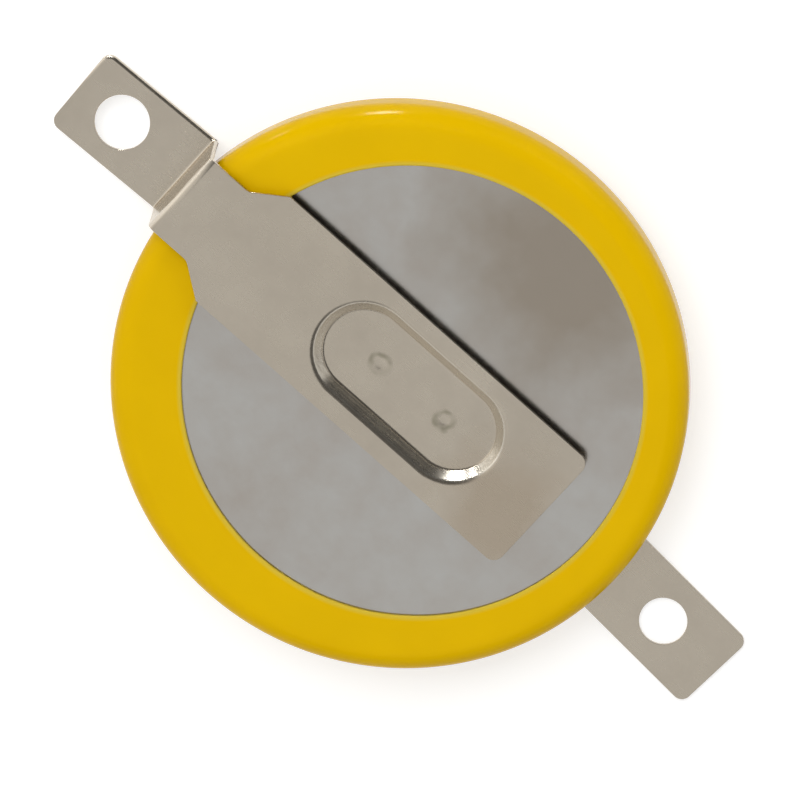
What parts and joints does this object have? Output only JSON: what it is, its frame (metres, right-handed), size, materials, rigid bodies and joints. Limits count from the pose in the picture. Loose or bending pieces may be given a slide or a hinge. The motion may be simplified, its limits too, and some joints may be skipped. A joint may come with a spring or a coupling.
{
  "type": "tabbed lithium coin cell",
  "caption": "Lithium coin cell in a yellow shrunk sleeve, with a stamped solder tab welded to each pole and a fixing hole in the end of each tab.",
  "frame": {"origin": "on the axis of the cell, in the plane of the lower tab's underside", "axes": "+Z out of the can's flat face, +X along the lower tab towards its hole, with the upper tab's hole at -X"},
  "size_m": [0.0376, 0.0248, 0.0039],
  "materials": {
    "can_steel": "satin",
    "cap_steel": "satin",
    "tab_nickel": "satin",
    "sleeve_yellow": "gloss",
    "gasket_plastic": "matte",
    "cathode_black": "matte",
    "separator_white": "matte",
    "lithium_metal": "satin"
  },
  "bodies": {
    "root": {"positive_can": "can_steel", "gasket": "gasket_plastic", "negative_cap": "cap_steel", "cathode_pellet": "cathode_black", "cathode_collector": "can_steel", "separator": "separator_white", "lithium_disc": "lithium_metal", "sleeve": "sleeve_yellow", "upper_tab": "tab_nickel", "lower_tab": "tab_nickel"}
  },
  "joints": []
}
